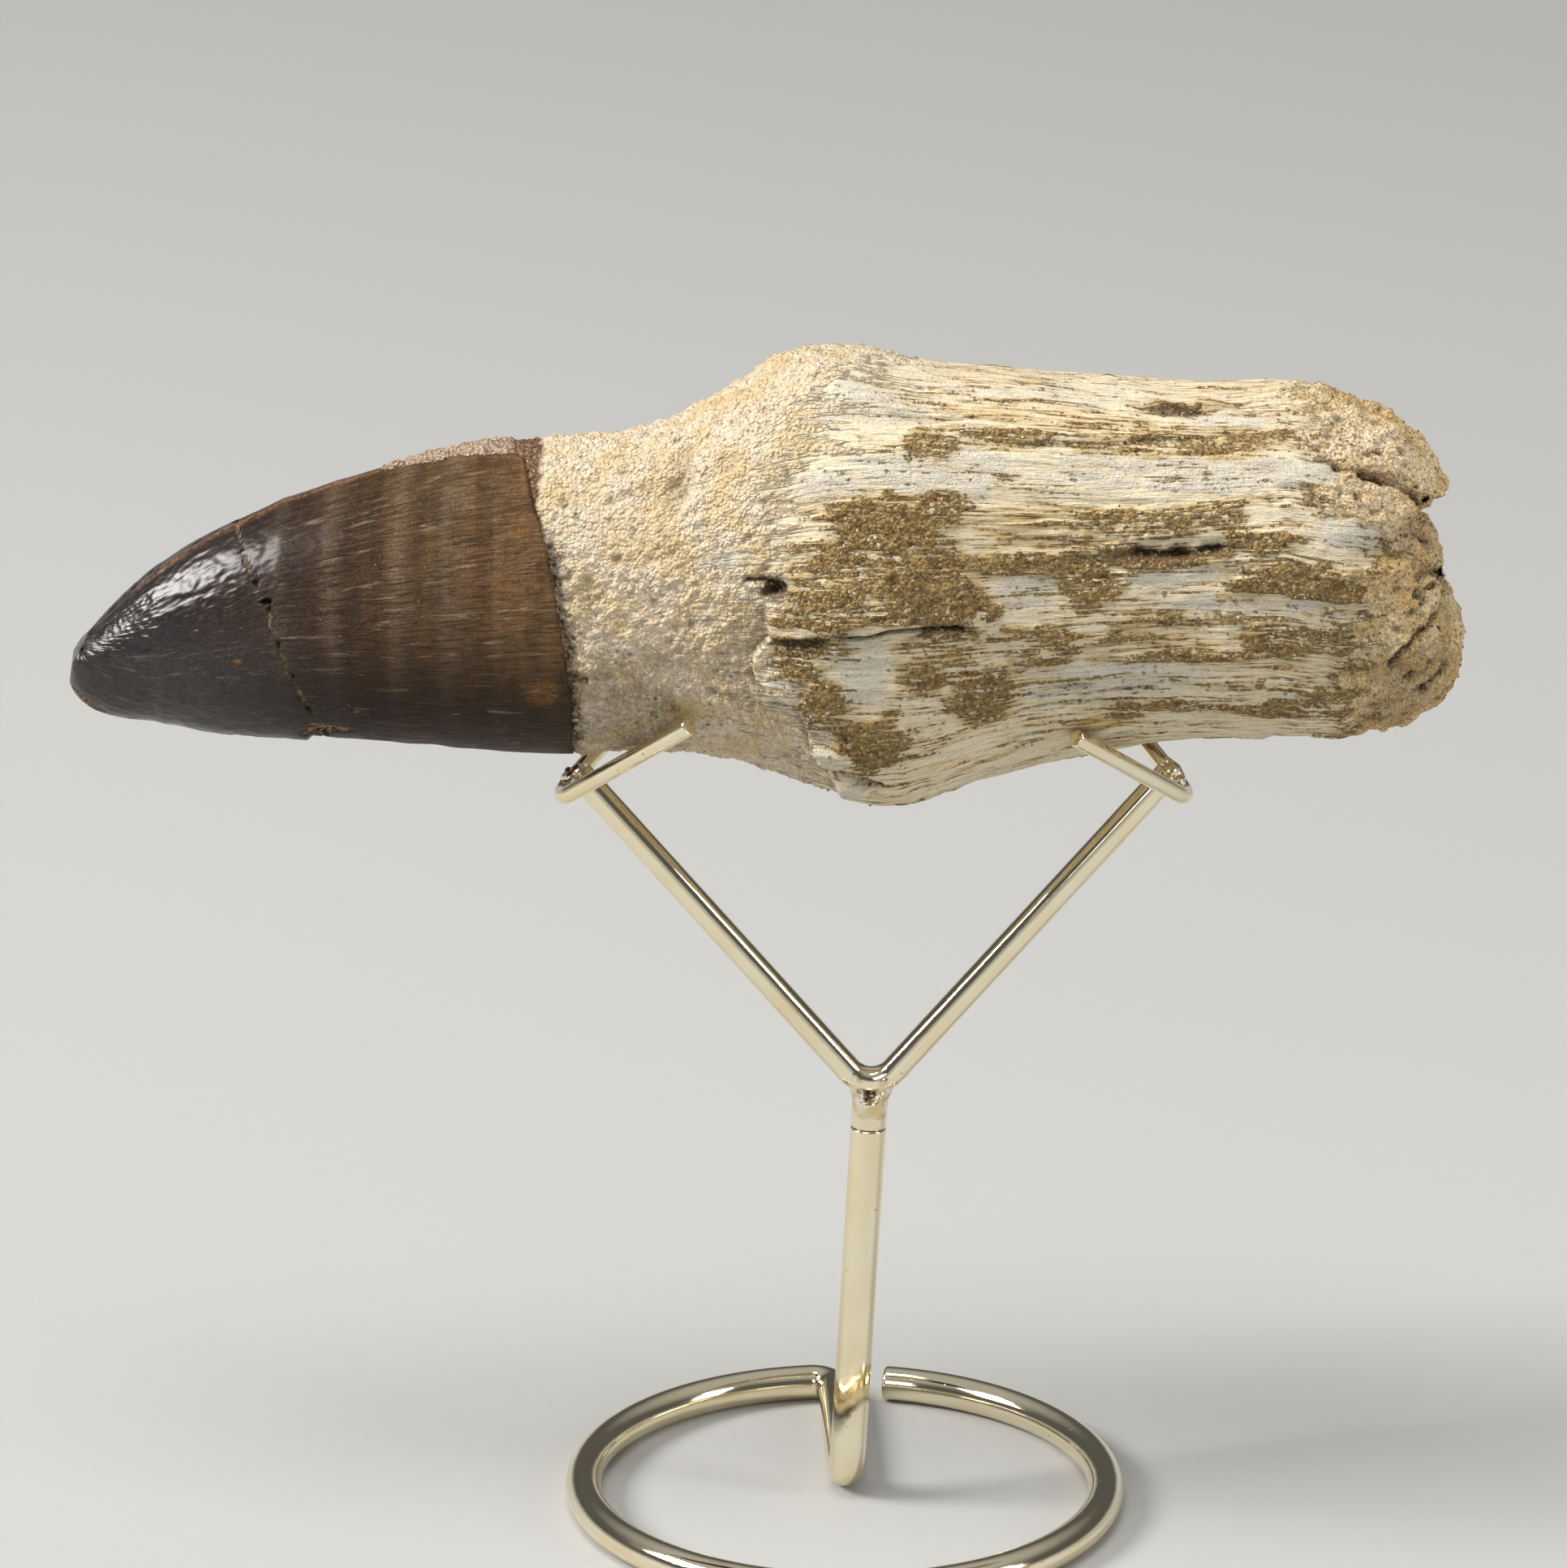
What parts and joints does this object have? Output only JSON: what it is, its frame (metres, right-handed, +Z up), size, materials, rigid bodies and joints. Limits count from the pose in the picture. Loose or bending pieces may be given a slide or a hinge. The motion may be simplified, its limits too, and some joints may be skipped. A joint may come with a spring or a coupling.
{
  "type": "fossil mosasaur tooth on a wire stand",
  "caption": "Fossil mosasaur tooth with a dark enamel crown and a bony root, lying across the cradles of a forked gold-plated wire stand with a ring foot.",
  "frame": {"origin": "on the surface that the ring foot stands on, under the middle of the whole display's box; the ring's centre is 6.8 mm from it towards the root", "axes": "+X along the tooth from the crown's tip to the broken root, -Y towards the side that is looked at, +Z up"},
  "size_m": [0.1104, 0.0455, 0.0973],
  "materials": {
    "fossil_tooth": "glossy dark chocolate enamel on the crown; cream and ochre granular bone with an ivory fibrous grain on the root",
    "gold_plated_wire": "bright pale gold plate, mirror smooth with small plating marks",
    "braze": "bright lumpy braze under the same plate"
  },
  "bodies": {
    "root": {"mosasaur_tooth": "fossil_tooth", "base_wire": "gold_plated_wire", "upper_rod": "gold_plated_wire", "fork_wire": "gold_plated_wire", "cradle_left": "gold_plated_wire", "cradle_right": "gold_plated_wire", "braze_saddle": "braze", "braze_left": "braze", "braze_right": "braze"}
  },
  "joints": []
}
